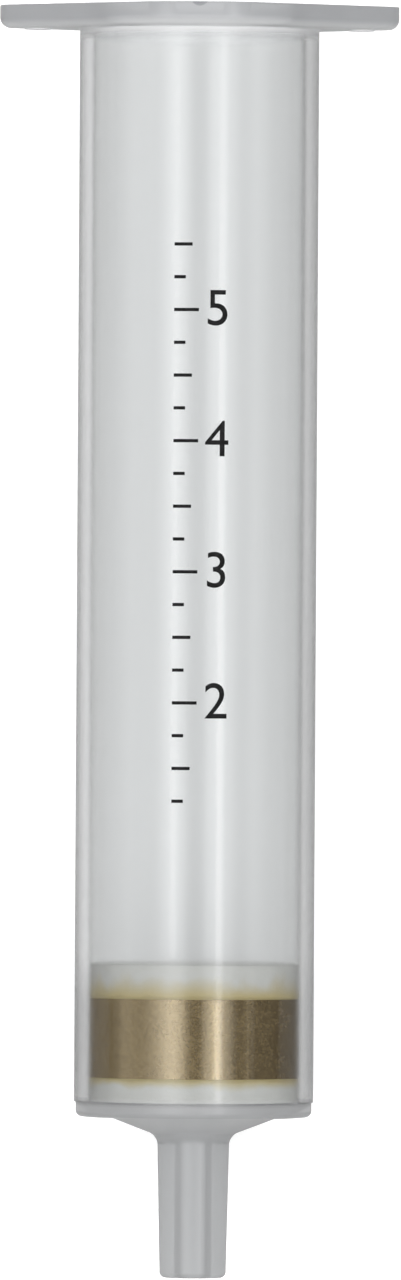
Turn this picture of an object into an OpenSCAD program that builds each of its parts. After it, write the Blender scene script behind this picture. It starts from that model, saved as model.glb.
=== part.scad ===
// Solid phase extraction cartridge: a flanged, clear plastic column with a male cone tip,
// packed with a bed of granular sorbent between two porous frits.
//
// Every piece is drawn upright, with the flange's top face at z = 0 and the tip pointing down.
// laid_down() then rests the cartridge on its side, on the flange's edge and the foot of the tube.

/* [Tube] */
// Bore of the tube
bore_d = 12.7; // [11:0.1:16]
// Wall of the tube
wall = 0.9; // [0.7:0.05:1.5]
// Length from the flange's top face to the shoulder at the bottom
barrel_l = 67.3; // [50:0.1:90]
// Thickness of the floor, from the ledge that carries the frit to the shoulder
floor_t = 0.9; // [0.6:0.05:1.5]
// How far the outside steps in below the ledge
foot_step = 0.1; // [0.05:0.05:0.3]
// Rounding of the shoulder's outer corner
shoulder_round = 0.38; // [0.1:0.02:0.5]

/* [Flange] */
// How far each finger grip stands out from the tube, to the left and right
grip_reach = 4.85; // [3:0.05:9]
// How far the front and back flats stand out from the tube
crown_reach = 0.9; // [0.8:0.05:3]
// Thickness of the flange
flange_t = 1.4; // [1:0.1:2.5]
// Width of the flat at the front and at the back
crown_flat_w = 2.8; // [1:0.1:5]
// Rounding in plan where a flat turns into a grip
crown_round = 3; // [1:0.1:4]
// Rounding in plan of the grips' ends
grip_round = 1.4; // [1:0.1:3]
// Rounding of the rim's lower edge
rim_round = 0.65; // [0.2:0.05:0.9]
// Fillet under the flange, where the tube leaves it
root_round = 0.15; // [0.05:0.05:0.3]

/* [Mould marks] */
// Width of the gate mark at the front of the rim
gate_w = 1; // [0.6:0.1:1.6]
// Height of the gate mark below the rim's top edge
gate_h = 0.28; // [0.15:0.01:0.4]
// Depth of the gate mark into the rim
gate_depth = 0.15; // [0.05:0.05:0.3]
// Diameter of the ejector pads under the grips
pad_d = 1.6; // [1:0.1:2]
// Distance from a grip's end to the centre of its ejector pad
pad_inset = 2.3; // [1.6:0.1:3]
// How far the ejector pads stand out
pad_proud = 0.08; // [0.04:0.02:0.2]

/* [Outlet] */
// Width of the flat shoulder around the outer cone
shoulder_w = 1.95; // [0.8:0.05:2.6]
// Height of the outer cone, from the shoulder to the tip
cone_h = 1.16; // [0.8:0.02:2.5]
// Fillet between the cone and the tip
cone_fillet = 0.8; // [0.3:0.05:1]
// Diameter of the tip where it meets the cone
tip_base_d = 4.36; // [4.1:0.02:4.8]
// Diameter of the tip at its end
tip_end_d = 4; // [3.9:0.01:4.05]
// Length of the tip
tip_l = 8.6; // [6:0.1:12]
// Rounding of the tip's end
tip_round = 0.36; // [0.1:0.02:0.5]
// Bore of the tip
lumen_d = 1.5; // [1:0.05:2.4]
// Width of the ledge around the funnel, which carries the lower frit
ledge_w = 1.15; // [0.6:0.05:2]
// Depth of the funnel below the ledge
funnel_h = 2.2; // [1.6:0.05:3]

/* [Packing] */
// Thickness of the upper frit
upper_frit_t = 2.1; // [1:0.1:3.2]
// Height of the sorbent bed
bed_h = 4.8; // [2:0.1:30]
// Thickness of the lower frit
lower_frit_t = 1.5; // [1:0.1:3.2]

/* [Hidden] */

clear_plastic = [0.86, 0.88, 0.89, 0.45];
frit_white = [0.86, 0.86, 0.82];
sorbent_brown = [0.38, 0.31, 0.21];

$fn = 96;
arc_steps = 8;      // straight pieces in each rounded corner of a section
cut_over = 1;       // how far a cut runs past the face it opens
lap = 0.05;         // how far the tube's section runs into the flange, past the fillet

bore_r = bore_d / 2;
tube_r = bore_r + wall;
foot_r = tube_r - foot_step;
flange_w = 2 * (tube_r + grip_reach);
flange_d = 2 * (tube_r + crown_reach);
ledge_depth = barrel_l - floor_t;
tip_start = barrel_l + cone_h;
total_l = tip_start + tip_l;

// The cartridge rests on the rounded rim of the flange and on the sharp step at the foot of the
// tube, so its axis falls a little towards the tip.
rest_run = ledge_depth - (flange_t - rim_round);
rest_rise = crown_reach - rim_round;
rest_tilt = atan(rest_rise / rest_run) + asin(rim_round / norm([rest_run, rest_rise]));
axis_height = tube_r * cos(rest_tilt) + ledge_depth * sin(rest_tilt);

// Unit vector from one point to another
function toward(from, to) = (to - from) / norm(to - from);

// Angle a, moved by whole turns to lie between -180 and 180
function half_turn(a) = a - 360 * round(a / 360);

// Arc that rounds the corner at c, between its neighbours a and b
function rounded_corner(a, c, b, radius) =
    let (
        u = toward(c, a),
        v = toward(c, b),
        half_angle = acos(u * v) / 2,
        centre = c + toward([0, 0], u + v) * radius / sin(half_angle),
        first = c + u * radius / tan(half_angle) - centre,
        last = c + v * radius / tan(half_angle) - centre,
        start = atan2(first.y, first.x),
        sweep = half_turn(atan2(last.y, last.x) - start)
    )
    [for (i = [0:arc_steps]) centre + radius * [cos(start + sweep * i / arc_steps),
                                                sin(start + sweep * i / arc_steps)]];

// Closed outline through corners given as [x, y, radius]; a radius of 0 leaves a corner sharp
function rounded_outline(corners) =
    let (n = len(corners))
    [for (i = [0:n - 1])
        let (c = corners[i], a = corners[(i + n - 1) % n], b = corners[(i + 1) % n])
        each c.z == 0 ? [[c.x, c.y]] : rounded_corner([a.x, a.y], [c.x, c.y], [b.x, b.y], c.z)];

// Section of the moulding on one side of its axis, from the flange's top down to the tip's end and
// back up inside through the tip's bore, the funnel and the ledge
moulding_section = [
    [bore_r, 0, 0],
    [tube_r + root_round + lap, 0, 0],
    [tube_r + root_round + lap, -flange_t, 0],
    [tube_r, -flange_t, root_round],
    [tube_r, -ledge_depth, 0],
    [foot_r, -ledge_depth, 0],
    [foot_r, -barrel_l, shoulder_round],
    [foot_r - shoulder_w, -barrel_l, 0],
    [tip_base_d / 2, -tip_start, cone_fillet],
    [tip_end_d / 2, -total_l, tip_round],
    [lumen_d / 2, -total_l, 0],
    [lumen_d / 2, -ledge_depth - funnel_h, 0],
    [bore_r - ledge_w, -ledge_depth, 0],
    [bore_r, -ledge_depth, 0]
];

// Disc whose lower edge is rounded like the flange's rim
module rim_disc(radius) {
    rotate_extrude()
        polygon(rounded_outline([
            [0, 0, 0],
            [radius, 0, 0],
            [radius, -flange_t, rim_round],
            [0, -flange_t, 0]
        ]));
}

// Six-sided finger flange: a flat at the front and back, and two grips that taper to round ends
module flange_plate() {
    hull() {
        for (side = [-1, 1]) {
            translate([side * (flange_w / 2 - grip_round), 0, 0])
                rim_disc(grip_round);
            for (face = [-1, 1])
                translate([side * crown_flat_w / 2, face * (flange_d / 2 - crown_round), 0])
                    rim_disc(crown_round);
        }
    }
}

// Half-moon mark where the plastic entered the mould, at the front of the rim
module gate_mark() {
    gate_r = (pow(gate_w / 2, 2) + pow(gate_h, 2)) / (2 * gate_h);
    translate([0, gate_depth - flange_d / 2, gate_r - gate_h])
        rotate([90, 0, 0])
            cylinder(r = gate_r, h = gate_depth + cut_over);
}

// Round pads that the ejector pins leave under the grips
module ejector_pads() {
    for (side = [-1, 1])
        translate([side * (flange_w / 2 - pad_inset), 0, -flange_t - pad_proud])
            cylinder(d = pad_d, h = flange_t / 2);
}

// Rests an upright piece on its side, with the flange's front facing up and the tip towards -Y
module laid_down() {
    translate([0, total_l / 2 * cos(rest_tilt), axis_height])
        rotate([rest_tilt - 90, 0, 0])
            children();
}

// Disc of packing that fills the bore below a depth
module packing(depth, height) {
    translate([0, 0, -depth - height])
        cylinder(r = bore_r, h = height);
}

module barrel() {
    color(clear_plastic)
        laid_down()
            union() {
                rotate_extrude()
                    polygon(rounded_outline(moulding_section));
                difference() {
                    union() {
                        flange_plate();
                        ejector_pads();
                    }
                    translate([0, 0, -flange_t - cut_over])
                        cylinder(r = bore_r, h = flange_t + 2 * cut_over);
                    gate_mark();
                }
            }
}

module lower_frit() {
    color(frit_white)
        laid_down()
            packing(ledge_depth - lower_frit_t, lower_frit_t);
}

module sorbent_bed() {
    color(sorbent_brown)
        laid_down()
            packing(ledge_depth - lower_frit_t - bed_h, bed_h);
}

module upper_frit() {
    color(frit_white)
        laid_down()
            packing(ledge_depth - lower_frit_t - bed_h - upper_frit_t, upper_frit_t);
}

barrel();
upper_frit();
sorbent_bed();
lower_frit();
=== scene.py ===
import math

import bmesh
import bpy
from mathutils import Matrix, Vector


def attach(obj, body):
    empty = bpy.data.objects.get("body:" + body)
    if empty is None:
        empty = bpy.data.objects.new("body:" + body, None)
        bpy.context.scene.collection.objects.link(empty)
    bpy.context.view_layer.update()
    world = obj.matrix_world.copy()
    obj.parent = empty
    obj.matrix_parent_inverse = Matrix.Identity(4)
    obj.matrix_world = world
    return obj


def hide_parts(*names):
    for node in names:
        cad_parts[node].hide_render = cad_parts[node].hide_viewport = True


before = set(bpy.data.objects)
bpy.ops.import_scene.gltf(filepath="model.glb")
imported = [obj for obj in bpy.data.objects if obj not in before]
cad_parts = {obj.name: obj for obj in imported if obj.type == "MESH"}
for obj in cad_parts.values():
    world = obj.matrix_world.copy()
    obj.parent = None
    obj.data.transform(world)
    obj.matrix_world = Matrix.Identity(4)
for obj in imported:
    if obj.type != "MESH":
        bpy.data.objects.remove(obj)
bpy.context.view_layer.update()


# ------------------------------------------------------------------------------------------ barrel
# The column itself, one injection moulding in clear polypropylene: finger flange, tube, floor, cone
# and male tip are a single wall. The plastic entered at the front of the rim, where it left a
# half-moon mark, and two ejector pins left round pads under the grips. Sizes are in millimetres.
bore_r = 6.35
wall = 0.9
barrel_l = 67.3
floor_t = 0.9
foot_step = 0.1
shoulder_round = 0.38
flange_t = 1.4
grip_reach = 4.85
crown_reach = 0.9
crown_flat_w = 2.8
crown_round = 3
grip_round = 1.4
rim_round = 0.65
root_round = 0.15
gate_w, gate_h, gate_depth = 1, 0.28, 0.15
pad_d, pad_inset, pad_proud = 1.6, 2.3, 0.08
shoulder_w = 1.95
shoulder_edge = 0.05
cone_h = 1.16
cone_fillet = 0.8
tip_base_d, tip_end_d, tip_l = 4.36, 4, 8.6
tip_round = 0.36
lumen_d = 1.5
ledge_w = 1.15
funnel_h = 2.2
edge_break = 0.07       # what the polished mould leaves on edges that look sharp

tube_r = bore_r + wall
foot_r = tube_r - foot_step
ledge_depth = barrel_l - floor_t
tip_start = barrel_l + cone_h
total_l = tip_start + tip_l
half_w = tube_r + grip_reach
half_d = tube_r + crown_reach

# The cartridge lies on the rim of the flange and on the step at the foot of the tube.
rest_run = ledge_depth - (flange_t - rim_round)
rest_rise = crown_reach - rim_round
rest_tilt = math.atan(rest_rise / rest_run) + math.asin(rim_round / math.hypot(rest_run, rest_rise))
axis_height = tube_r * math.cos(rest_tilt) + ledge_depth * math.sin(rest_tilt)
centre_y = total_l / 2 * math.cos(rest_tilt)

arc_steps = 8           # straight pieces in each rounded corner of a section
same_spot = 1e-4        # corners closer than this are one
sharp_angle = math.radians(35)

MM = 0.001
LYING = (Matrix.Translation((0, centre_y * MM, axis_height * MM))
         @ Matrix.Rotation(rest_tilt - math.pi / 2, 4, "X")
         @ Matrix.Scale(MM, 4))


def chain(bm, corners):
    """Wire through corners given as (radius, height, rounding), in the half plane y = 0."""
    verts = [bm.verts.new((r, 0, z)) for r, z, _ in corners]
    for a, b in zip(verts, verts[1:]):
        bm.edges.new((a, b))
    for i in range(1, len(corners) - 1):
        rounding = corners[i][2]
        if rounding:
            here = Vector((corners[i][0], corners[i][1]))
            back = (Vector(corners[i - 1][:2]) - here).normalized()
            on = (Vector(corners[i + 1][:2]) - here).normalized()
            reach = rounding / math.tan(back.angle(on) / 2)
            bmesh.ops.bevel(bm, geom=[verts[i]], offset=reach, offset_type="OFFSET", segments=arc_steps,
                            profile=0.5, affect="VERTICES", clamp_overlap=False, material=-1)


def lathe(bm, corners, steps):
    """Turns a section of corners into a body of revolution about the upright axis."""
    chain(bm, corners)
    bmesh.ops.spin(bm, geom=bm.verts[:] + bm.edges[:], cent=(0, 0, 0), axis=(0, 0, 1), angle=2 * math.pi,
                   steps=steps, use_merge=True)


def edges_at(bm, height):
    """The open edges that lie at one height."""
    return [e for e in bm.edges
            if len(e.link_faces) < 2 and all(abs(v.co.z - height) < same_spot for v in e.verts)]


def finish_mesh(name, bm):
    """Closes the seams, turns the faces outwards, lays the piece down and makes its object."""
    bmesh.ops.remove_doubles(bm, verts=bm.verts, dist=same_spot)
    bmesh.ops.recalc_face_normals(bm, faces=bm.faces)
    bm.transform(LYING)
    mesh = bpy.data.meshes.new(name)
    bm.to_mesh(mesh)
    bm.free()
    mesh.shade_smooth()
    mesh.set_sharp_from_angle(angle=sharp_angle)
    made = bpy.data.objects.new(name, mesh)
    bpy.context.scene.collection.objects.link(made)
    return made


def flange_plate(bm):
    """Hull round the two grips' ends and the four corners of the flats, open above and below."""
    top_steps, rim_steps, disc_steps = 3, 10, 120
    rim = [(edge_break * (1 - math.sin(a)), -edge_break * (1 - math.cos(a)))
           for a in (math.radians(90 / top_steps * i) for i in range(top_steps + 1))]
    rim += [(rim_round * (1 - math.cos(a)), -flange_t + rim_round * (1 - math.sin(a)))
            for a in (math.radians(90 * i / rim_steps) for i in range(rim_steps + 1))]
    discs = [(side * (half_w - grip_round), 0, grip_round) for side in (-1, 1)]
    discs += [(side * crown_flat_w / 2, face * (half_d - crown_round), crown_round)
              for side in (-1, 1) for face in (-1, 1)]
    for x, y, radius in discs:
        for inset, height in rim:
            bmesh.ops.create_circle(bm, segments=disc_steps, radius=radius - inset,
                                    matrix=Matrix.Translation((x, y, height)))
    hull = bmesh.ops.convex_hull(bm, input=bm.verts, use_existing_faces=False)
    left_over = hull["geom_interior"] + hull["geom_unused"]
    inside = dict.fromkeys(g for g in left_over if isinstance(g, bmesh.types.BMVert))
    bmesh.ops.delete(bm, geom=list(inside), context="VERTS")
    bmesh.ops.delete(bm, geom=[e for e in bm.edges if not e.link_faces], context="EDGES")
    bmesh.ops.dissolve_limit(bm, angle_limit=math.radians(0.3), verts=bm.verts, edges=bm.edges)
    flats = [f for f in bm.faces if abs(f.normal.z) > 0.9999]
    bmesh.ops.delete(bm, geom=flats, context="FACES_ONLY")


body = bmesh.new()
flange_plate(body)

tube = bmesh.new()
lathe(tube, [
    (tube_r + 2 * root_round, -flange_t, 0),
    (tube_r, -flange_t, root_round),
    (tube_r, -ledge_depth, 0),
    (foot_r, -ledge_depth - foot_step / 4, 0),
    (foot_r, -barrel_l, shoulder_round),
    (foot_r - shoulder_w, -barrel_l, shoulder_edge),
    (tip_base_d / 2, -tip_start, cone_fillet),
    (tip_end_d / 2, -total_l, tip_round),
    (lumen_d / 2, -total_l, edge_break),
    (lumen_d / 2, -ledge_depth - funnel_h, edge_break),
    (bore_r - ledge_w, -ledge_depth, edge_break),
    (bore_r, -ledge_depth, edge_break),
    (bore_r, 0, edge_break),
    (bore_r + 2 * root_round, 0, 0),
], steps=192)
spun = bpy.data.meshes.new("spun")
tube.to_mesh(spun)
tube.free()
body.from_mesh(spun)
bpy.data.meshes.remove(spun)

# Flat faces join the rim to the tube above and below, and the ejector pads stand out of the lower one.
for side in (-1, 1):
    bmesh.ops.create_circle(body, segments=48, radius=pad_d / 2,
                            matrix=Matrix.Translation((side * (half_w - pad_inset), 0, -flange_t)))
bmesh.ops.remove_doubles(body, verts=body.verts, dist=same_spot)
bmesh.ops.triangle_fill(body, edges=edges_at(body, 0), use_beauty=True)
bmesh.ops.triangle_fill(body, edges=edges_at(body, -flange_t), use_beauty=True)
pads = bmesh.ops.extrude_edge_only(body, edges=edges_at(body, -flange_t))["geom"]
pad_corners = [g for g in pads if isinstance(g, bmesh.types.BMVert)]
bmesh.ops.translate(body, vec=(0, 0, -pad_proud), verts=pad_corners)
bmesh.ops.edgeloop_fill(body, edges=edges_at(body, -flange_t - pad_proud))
barrel = finish_mesh("barrel_moulding", body)

# The half-moon gate mark is cut out of the finished rim.
gate_r = ((gate_w / 2) ** 2 + gate_h ** 2) / (2 * gate_h)
cutter_l = 2
gate = bmesh.new()
bmesh.ops.create_cone(
    gate, cap_ends=True, segments=96, radius1=gate_r, radius2=gate_r, depth=cutter_l,
    matrix=Matrix.Translation((0, gate_depth - half_d - cutter_l / 2, gate_r - gate_h))
    @ Matrix.Rotation(math.pi / 2, 4, "X"))
cutter = finish_mesh("gate_cutter", gate)
cut = barrel.modifiers.new("gate", "BOOLEAN")
cut.operation, cut.solver, cut.object = "DIFFERENCE", "EXACT", cutter
whole = bpy.data.meshes.new_from_object(barrel.evaluated_get(bpy.context.evaluated_depsgraph_get()))
barrel.modifiers.clear()
barrel.data = whole
bpy.data.objects.remove(cutter)
even = barrel.modifiers.new("flats", "WEIGHTED_NORMAL")
even.mode, even.weight, even.keep_sharp = "FACE_AREA", 80, True


class Wire:
    """A shader socket that arithmetic works on: each step of an expression adds its Math node."""

    def __init__(self, tree, socket=None):
        self.tree, self.socket = tree, socket

    def node(self, kind, settings=None, inputs=None, output=0):
        """Any other node, from its type, its settings and its sockets' values or wires."""
        made = self.tree.nodes.new(kind)
        for key, value in (settings or {}).items():
            setattr(made, key, value)
        for key, value in (inputs or {}).items():
            if isinstance(value, Wire):
                self.tree.links.new(value.socket, made.inputs[key])
            else:
                made.inputs[key].default_value = value
        return Wire(self.tree, made.outputs[output] if made.outputs else None)

    def math(self, operation, a, b=0):
        """A Math node on one or two numbers or wires."""
        return self.node("ShaderNodeMath", {"operation": operation}, {0: a, 1: b})

    def __add__(self, other):
        return self.math("ADD", self, other)

    def __sub__(self, other):
        return self.math("SUBTRACT", self, other)

    def __rsub__(self, other):
        return self.math("SUBTRACT", other, self)

    def __mul__(self, other):
        return self.math("MULTIPLY", self, other)

    __radd__, __rmul__ = __add__, __mul__

    def __abs__(self):
        return self.math("ABSOLUTE", self)

    def out(self, name):
        """Another output of the same node."""
        return Wire(self.tree, self.socket.node.outputs[name])


def new_finish(name):
    """An empty material and the wire its nodes start from."""
    made = bpy.data.materials.new(name)
    made.use_nodes = True
    made.node_tree.nodes.clear()
    return made, Wire(made.node_tree)


def upright_place(start):
    """The cartridge's own upright place in millimetres: 0 at the mouth, heights falling to the tip."""
    here = start.node("ShaderNodeTexCoord", output="Object")
    return start.node("ShaderNodeMapping", {"vector_type": "TEXTURE"}, {
        "Vector": here, "Location": (0, centre_y * MM, axis_height * MM),
        "Rotation": (rest_tilt - math.pi / 2, 0, 0), "Scale": (MM, MM, MM)})


def along_axis(place, axis):
    """One of a place's three numbers."""
    return place.node("ShaderNodeSeparateXYZ", inputs={0: place}, output=axis)


def ramp_between(value, low, high):
    """0 below low, 1 above high and a smooth step between."""
    return value.node("ShaderNodeMapRange", {"interpolation_type": "SMOOTHSTEP"}, {
        "Value": value, "From Min": low, "From Max": high, "To Min": 0, "To Max": 1})


def mottle(place, size, detail=3, stretch=(1, 1, 1)):
    """Soft noise from 0 to 1, its lumps about size millimetres across."""
    spread = place.node("ShaderNodeVectorMath", {"operation": "MULTIPLY"}, {
        0: place, 1: tuple(s / size for s in stretch)})
    return place.node("ShaderNodeTexNoise", inputs={"Vector": spread, "Scale": 1, "Detail": detail})


def blend_colours(share, first, second):
    """From the first colour at 0 to the second at 1."""
    return share.node("ShaderNodeMix", {"data_type": "RGBA"}, {
        "Factor": share, 6: (*first, 1) if isinstance(first, tuple) else first,
        7: (*second, 1) if isinstance(second, tuple) else second}, output=2)


def relief(height, strength, depth):
    """The bumps of a surface, from a height of 0 to 1 that stands for a depth in millimetres."""
    return height.node("ShaderNodeBump", inputs={
        "Strength": strength, "Distance": depth * MM, "Height": height})


# Clear polypropylene: a faint milkiness that builds up where the plastic is thick, in the flange,
# the floor and the tip, and long shallow draw lines along the polished wall.
clear_tint = (0.97, 0.98, 0.98)
lamp_tint = (0.99, 0.992, 0.995)
flange_haze, foot_haze, outlet_haze, wall_haze = 0.68, 0.5, 0.12, 0.012
flange_milk = (0.355, 0.36, 0.37)
# The lip's colour is a painted highlight.
lip_highlight_milk = (0.66, 0.665, 0.67)
foot_milk = (0.48, 0.485, 0.49)
outlet_milk = (0.36, 0.365, 0.37)
scar_milk = (0.20, 0.205, 0.22)

clear_plastic, start = new_finish("clear_moulded_polypropylene")
place = upright_place(start)
height = along_axis(place, "Z")
depth = 0 - height
lines = mottle(place, 0.9, stretch=(1, 1, 0.02), detail=2)
surface = relief(lines, 0.15, 0.02)

# Where the plastic is thick, by millimetres below the mouth.
rim = ramp_between(height, -2.2, -1.3)
foot = ramp_between(depth, ledge_depth - 0.4, ledge_depth + 0.3)
outlet = ramp_between(depth, tip_start - 0.6, tip_start + 0.4)
cloud = mottle(place, 6, stretch=(1, 1, 0.25))
haze = flange_haze * rim + foot_haze * foot + outlet_haze * outlet + cloud * wall_haze

# A painted highlight makes the milkiness palest along the flange's lower lip; it is dark in the gate's
# scar.
painted_lip_highlight = ramp_between(depth, 0.8, 1.6) - ramp_between(depth, 1.8, 2.3)
from_gate = place.node("ShaderNodeVectorMath", {"operation": "DISTANCE"}, {
    0: place, 1: (0, -half_d, gate_r - gate_h)}, output="Value")
scar = 1 - ramp_between(from_gate, gate_r - 0.04, gate_r + 0.02)
milk = blend_colours(painted_lip_highlight, flange_milk, lip_highlight_milk)
milk = blend_colours(foot, milk, foot_milk)
milk = blend_colours(outlet, milk, outlet_milk)
milk = blend_colours(scar, milk, scar_milk)

clear = start.node("ShaderNodeBsdfPrincipled", inputs={
    "Base Color": (*clear_tint, 1), "Roughness": 0.11, "IOR": 1.49, "Transmission Weight": 1,
    "Normal": surface})
milky = start.node("ShaderNodeBsdfPrincipled", inputs={
    "Base Color": milk, "Roughness": 0.3, "IOR": 1.49, "Normal": surface})
plastic = start.node("ShaderNodeMixShader", inputs={0: haze, 1: clear, 2: milky})
# Light from a lamp passes straight through the wall.
lamps_through = start.node("ShaderNodeMixShader", inputs={
    0: start.node("ShaderNodeLightPath", output="Is Shadow Ray"), 1: plastic,
    2: start.node("ShaderNodeBsdfTransparent", inputs={0: (*lamp_tint, 1)})})
start.node("ShaderNodeOutputMaterial", inputs={0: lamps_through})
barrel.data.materials.clear()
barrel.data.materials.append(clear_plastic)
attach(barrel, "root")
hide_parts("barrel")


# ------------------------------------------------------------------------------------------ scale
# A plain volume scale, screen printed in black ink up the front of the tube: a tick for each quarter
# of a millilitre above the packing, and a number at each whole one. The ink is a hundredth of a
# millimetre thick.
upper_frit_t, bed_h, lower_frit_t = 2.1, 4.8, 1.5
packing_top = -ledge_depth + lower_frit_t + bed_h + upper_frit_t
cubic_mm_per_ml = 1000
rise_per_ml = cubic_mm_per_ml / (math.pi * bore_r ** 2)
lowest_quarter, highest_quarter = 5, 22
whole_tick, half_tick, quarter_tick = 1.5, 1.1, 0.7
tick_t = 0.2
numbers = range(2, 6)
number_size = 3.1
number_in = 2.65        # from the ticks' left ends to the middle of a number
ink_left = -1.45
ink_lift, ink_t = 0.006, 0.012         # a hair off the wall, and the film's thickness
ink_r = tube_r + ink_lift
strip_w, strip_shift, strips = 0.2, 0.05, range(-8, 13)
ink_dark, ink_thin = (0.004, 0.004, 0.004), (0.014, 0.014, 0.015)

ink = bmesh.new()
for quarter in range(lowest_quarter, highest_quarter + 1):
    reach = {0: whole_tick, 2: half_tick}.get(quarter % 4, quarter_tick)
    bmesh.ops.create_grid(ink, x_segments=8, y_segments=1, size=0.5, matrix=(
        Matrix.Translation((ink_left + reach / 2, packing_top + rise_per_ml * quarter / 4, 0))
        @ Matrix.Diagonal((reach, tick_t, 1, 1))))

for number in numbers:
    lettering = bpy.data.curves.new("number", "FONT")
    lettering.body, lettering.size = str(number), number_size
    lettering.align_x, lettering.align_y = "CENTER", "CENTER"
    sign = bpy.data.objects.new("number", lettering)
    bpy.context.scene.collection.objects.link(sign)
    flat = bpy.data.meshes.new_from_object(sign.evaluated_get(bpy.context.evaluated_depsgraph_get()))
    flat.transform(Matrix.Translation((ink_left + number_in, packing_top + rise_per_ml * number, 0)))
    ink.from_mesh(flat)
    bpy.data.objects.remove(sign)
    bpy.data.meshes.remove(flat)

# Narrow upright strips let the flat print follow the tube when it is wrapped round it.
bmesh.ops.remove_doubles(ink, verts=ink.verts, dist=same_spot)
for strip in strips:
    bmesh.ops.bisect_plane(ink, geom=ink.verts[:] + ink.edges[:] + ink.faces[:],
                           plane_co=(strip_w * strip + strip_shift, 0, 0), plane_no=(1, 0, 0))
bmesh.ops.dissolve_degenerate(ink, edges=ink.edges, dist=0.002)
bmesh.ops.triangulate(ink, faces=ink.faces)
for vert in ink.verts:
    turn = vert.co.x / ink_r
    vert.co = (ink_r * math.sin(turn), -ink_r * math.cos(turn), vert.co.y)
bmesh.ops.recalc_face_normals(ink, faces=ink.faces)
for face in ink.faces:
    middle_x, middle_y, _ = face.calc_center_median()
    if face.normal.dot(Vector((middle_x, middle_y, 0))) < 0:
        face.normal_flip()
bmesh.ops.solidify(ink, geom=ink.faces[:], thickness=-ink_t)
scale = finish_mesh("printed_scale", ink)


def solid_finish(start, inputs):
    """Ends a material in one Principled shader."""
    shader = start.node("ShaderNodeBsdfPrincipled", inputs=inputs)
    start.node("ShaderNodeOutputMaterial", inputs={0: shader})


finish, start = new_finish("black_printing_ink")
place = upright_place(start)
thin = mottle(place, 0.25, detail=4)
mesh_marks = mottle(place, 0.06, detail=1)
solid_finish(start, {
    "Base Color": blend_colours(ramp_between(thin, 0.35, 0.75), ink_dark, ink_thin),
    "Roughness": 0.45 + thin * 0.2, "Specular IOR Level": 0.2, "Normal": relief(mesh_marks, 0.3, 0.01)})
scale.data.materials.append(finish)
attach(scale, "root")


# ------------------------------------------------------------------------------------------ packing
# Two discs of sintered polyethylene, pressed into the bore, with the bed of brown granular sorbent
# held between them. All three are a sliding fit, so a hair of air is left round them.
air = 0.03
seat_gap = 0.001
meeting_edge, lower_edge, upper_edge = 0.01, 0.08, 0.1
bed_foot = -ledge_depth + lower_frit_t
bed_top = bed_foot + bed_h
packing_r = bore_r - air


def packed_disc(name, foot, top, foot_edge, top_edge):
    """A plug of the bore between two heights, its edges rounded, with rows of faces up its side."""
    rows = 24
    bm = bmesh.new()
    side = [(packing_r, foot + (top - foot) * (0.1 + 0.8 * i / rows), 0) for i in range(rows + 1)]
    lathe(bm, [(0, foot, 0), (packing_r, foot, foot_edge), *side, (packing_r, top, top_edge),
               (0, top, 0)], steps=180)
    return finish_mesh(name, bm)


lower_frit = packed_disc("lower_frit_disc", -ledge_depth + seat_gap, bed_foot, lower_edge, meeting_edge)
bed = packed_disc("sorbent_packing", bed_foot, bed_top, meeting_edge, meeting_edge)
upper_frit = packed_disc("upper_frit_disc", bed_top, bed_top + upper_frit_t, meeting_edge, upper_edge)

# Sintered polyethylene: off-white beads fused into a porous disc, stained by the sorbent it touches.
# The discs glow faintly: a painted glow from a small emission, warmer where they are stained.
bead_white, bead_bright = (0.88, 0.885, 0.84), (0.96, 0.965, 0.93)
stain_yellow, grime_brown = (0.74, 0.62, 0.30), (0.30, 0.23, 0.12)
white_painted_glow, stained_painted_glow = (0.045, 0.045, 0.043), (0.03, 0.025, 0.012)
beads_per_mm = 6.0

for frit, node_name, touching, outward, stain_spread, least_stain in (
        (upper_frit, "upper_frit", bed_top, 1, 2.6, 0.2),
        (lower_frit, "lower_frit", bed_foot, -1, 1.3, 0.1)):
    finish, start = new_finish(node_name + "_polyethylene")
    place = upright_place(start)
    away = (along_axis(place, "Z") - touching) * outward
    creep = mottle(place, 1.6, detail=4, stretch=(1, 1, 0.6))
    beads = place.node("ShaderNodeTexVoronoi", inputs={
        "Vector": place, "Scale": beads_per_mm}, output="Distance")
    stain = 1 - ramp_between(away, 0, creep * stain_spread + least_stain)
    grime = 1 - ramp_between(away, 0.02, creep * creep * 0.9 + 0.04)
    white = blend_colours(mottle(place, 0.5), bead_white, bead_bright)
    yellowed = blend_colours(stain, white, stain_yellow)
    solid_finish(start, {
        "Base Color": blend_colours(grime * 0.4, yellowed, grime_brown), "Roughness": 0.4, "IOR": 1.6,
        "Normal": relief(beads, 0.3, 0.05),
        # Painted glow: a faint emission that brightens the disc.
        "Emission Color": blend_colours(stain, white_painted_glow, stained_painted_glow), "Emission Strength": 1})
    frit.data.materials.append(finish)
    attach(frit, "root")
    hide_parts(node_name)

# Sorbent: brown grains of a tenth of a millimetre, packed dry, darker towards the right, partly
# the bed's own tone and partly painted shade.
grain_dark, grain_pale = (0.07, 0.046, 0.016), (0.26, 0.192, 0.092)
grain_sheen = (1, 0.8, 0.48)
grains_per_mm = 8.0

finish, start = new_finish("brown_sorbent_grains")
place = upright_place(start)
grains = start.node("ShaderNodeTexVoronoi", inputs={
    "Vector": place, "Scale": grains_per_mm}, output="Color")
shade = start.node("ShaderNodeSeparateColor", inputs={0: grains}, output=0)
lumps = mottle(place, 0.14, detail=1)
patches = mottle(place, 1.4, detail=4)
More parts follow.
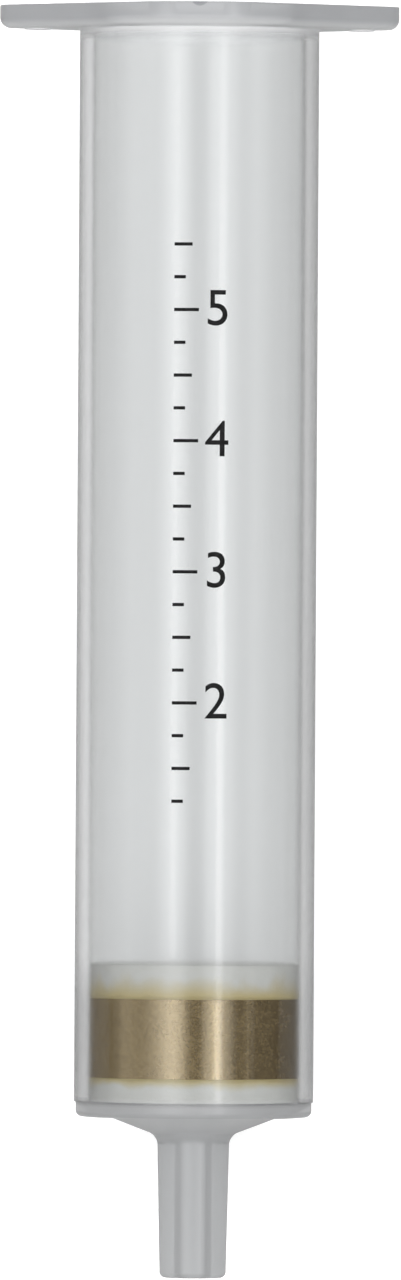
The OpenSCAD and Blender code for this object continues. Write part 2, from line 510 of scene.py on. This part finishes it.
# Painted shade, with some of the bed's own tone: the bed darkens towards its right side.
darker_right_tone_and_shade = ramp_between(along_axis(place, "X"), -6, 2)
grain_tone_and_painted_shade = 0.5 * shade + 0.45 * patches + 0.45 - 0.66 * darker_right_tone_and_shade
solid_finish(start, {
    "Base Color": blend_colours(grain_tone_and_painted_shade, grain_dark, grain_pale), "Roughness": 0.16, "IOR": 2.2,
    "Specular IOR Level": 1, "Specular Tint": (*grain_sheen, 1), "Normal": relief(lumps, 0.12, 0.05)})
bed.data.materials.append(finish)
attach(bed, "root")
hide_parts("sorbent_bed")


# ------------------------------------------------------------------------------------------ studio
# A pale floor under an even pale sky, banks of soft boxes either side of the camera, broad soft
# light from overhead, and a camera straight above. Sizes here are in metres.
ground = bmesh.new()
bmesh.ops.create_grid(ground, x_segments=1, y_segments=1, size=20)
floor_mesh = bpy.data.meshes.new("floor")
ground.to_mesh(floor_mesh)
ground.free()
floor = bpy.data.objects.new("floor", floor_mesh)
bpy.context.scene.collection.objects.link(floor)

# Seen bare, the floor is almost white. Seen through the plastic it is a pale grey with painted light and
# shade: a painted glow, brightest behind the axis, and painted shade where the wall has turned the light
# back on its way, most of all far out to the sides, beside the packing as a painted shadow of it, and on
# the right.
far_out = (0.014, 0.019)
off_axis = (0.0035, 0.008)
past_foot = (-0.0300, -0.0275)
past_packing = (-0.0225, -0.0185)
to_the_right = (-0.002, 0.004)
finish, start = new_finish("pale_floor")
ray = start.node("ShaderNodeLightPath", output="Is Camera Ray")
glossy, through = ray.out("Is Glossy Ray"), ray.out("Is Transmission Ray")
bounced = ramp_between(ray.out("Glossy Depth") + ray.out("Diffuse Depth"), 0, 1)
spot_x = start.node("ShaderNodeSeparateXYZ", inputs={
    0: start.node("ShaderNodeTexCoord", output="Object")}, output="X")
spot_y = spot_x.out("Y")
out = abs(spot_x)
far = ramp_between(out, *far_out)
painted_glow_behind_axis = (1 - ramp_between(out, *off_axis)) * ramp_between(spot_y, *past_foot)
painted_packing_shadow = 1 - ramp_between(spot_y, *past_packing)
painted_right_shade = ramp_between(spot_x, *to_the_right)
# Painted shade and painted glow on the floor, for light that has passed through the plastic.
painted_floor_shade = bounced * (0.07 + 0.10 * painted_right_shade + painted_packing_shadow * (0.12 - 0.10 * painted_right_shade) + 0.4 * far)
paleness = 0.72 + 0.2 * ray - 0.32 * glossy + through * (0.12 - painted_floor_shade)
painted_floor_glow = ray * 0.25 + through * (
    0.10 + 0.38 * painted_glow_behind_axis + 0.15 * far - 0.18 * far * bounced - 0.04 * painted_packing_shadow * bounced)
solid_finish(start, {
    "Base Color": start.node("ShaderNodeCombineColor", inputs={0: paleness, 1: paleness, 2: paleness}),
    "Roughness": 0.7, "Emission Strength": 1,
    "Emission Color": start.node("ShaderNodeCombineColor", inputs={0: painted_floor_glow, 1: painted_floor_glow, 2: painted_floor_glow})})
floor_mesh.materials.append(finish)

# The sky is white to the camera, nearly so to light that has only passed through the plastic, and
# dim to all other light.
scene = bpy.context.scene
scene.world = bpy.data.worlds.new("studio")
scene.world.use_nodes = True
scene.world.node_tree.nodes.clear()
start = Wire(scene.world.node_tree)
ray = start.node("ShaderNodeLightPath", output="Is Camera Ray")
bounced = ray.out("Glossy Depth") + ray.out("Diffuse Depth")
straight = ray.out("Is Transmission Ray") * (1 - ramp_between(bounced, 0, 1))
start.node("ShaderNodeOutputWorld", inputs={0: start.node("ShaderNodeBackground", inputs={
    "Color": (0.98, 0.99, 1, 1), "Strength": 0.1 + 0.9 * ray + 0.75 * straight})})

view_depth = 38.42      # millimetres from the mouth to the middle of the view
towards = Vector((0, math.sin(rest_tilt), -math.cos(rest_tilt)))
along = Vector((0, math.cos(rest_tilt), math.sin(rest_tilt)))
middle = LYING @ Vector((0, 0, -view_depth))
box_reach = 1.8         # how far a soft box reaches from the middle of the view, towards the tip


def soft_box(name, low, high, radiance, upper_end, distance):
    """A soft box seen from the cartridge between two angles from the camera, right positive."""
    angle, half = math.radians((low + high) / 2), math.radians((high - low) / 2)
    lamp = bpy.data.lights.new(name, "AREA")
    lamp.shape = "RECTANGLE"
    lamp.size, lamp.size_y = 2 * distance * math.tan(half), upper_end + box_reach
    lamp.energy = radiance * math.pi * lamp.size * lamp.size_y
    box = bpy.data.objects.new(name, lamp)
    scene.collection.objects.link(box)
    facing = math.sin(angle) * Vector((1, 0, 0)) - math.cos(angle) * towards
    centre = middle + distance * facing + (upper_end - box_reach) / 2 * along
    box.matrix_world = Matrix.Translation(centre) @ Matrix(
        (along.cross(facing), along, facing)).transposed().to_4x4()
    box.visible_camera = False


# Each side's light is a stack of diffusers, brightest at its core. A row gives the two angles between
# which one is seen, its radiance, and how far it reaches towards the mouth.
box_distance, box_spacing = 4.0, 0.02
for i, (low, high, radiance, upper_end) in enumerate((
        (-84, -62, 0.3, box_reach), (-60, -4, 0.25, box_reach), (-48, -8, 0.25, box_reach),
        (-40, -10, 0.35, box_reach), (-33, -13, 0.4, box_reach), (-28, -18, 0.3, box_reach),
        (7.5, 41, 0.4, box_reach), (11, 37, 0.3, box_reach), (13, 30, 0.25, box_reach),
        (20, 28.5, 0.6, box_reach), (21.5, 27, 1.5, 0.12), (57, 60, 0.6, box_reach))):
    soft_box(f"soft_box_{i}", low, high, radiance, upper_end, box_distance + box_spacing * i)

# Soft light comes from overhead, and a little from beyond the mouth and beyond the tip.
for name, height, energy, spread in (
        ("overhead", 90, 2.8, 80), ("mouth_fill", 25, 0.8, 40), ("tip_fill", 155, 0.7, 40)):
    lamp = bpy.data.lights.new(name, "SUN")
    lamp.energy, lamp.angle = energy, math.radians(spread)
    fill = bpy.data.objects.new(name, lamp)
    scene.collection.objects.link(fill)
    fill.rotation_euler = (math.radians(height - 90), 0, 0)
    fill.visible_glossy = False
    fill.visible_transmission = False

# The camera looks straight down on the front of the cartridge, with a long lens.
distance, lean, aside = 1.06, math.radians(0.334), 0.00026
across = math.cos(lean) * Vector((1, 0, 0)) + math.sin(lean) * along
up = -math.sin(lean) * Vector((1, 0, 0)) + math.cos(lean) * along
lens = bpy.data.cameras.new("camera")
lens.sensor_width, lens.lens = 36, 491.9
lens.clip_start, lens.clip_end = 0.05, 50
camera = bpy.data.objects.new("camera", lens)
scene.collection.objects.link(camera)
camera.matrix_world = Matrix((across, up, -towards)).transposed().to_4x4()
camera.location = middle + aside * across - distance * towards
scene.camera = camera
scene.view_settings.view_transform = "Standard"
scene.cycles.caustics_refractive = False
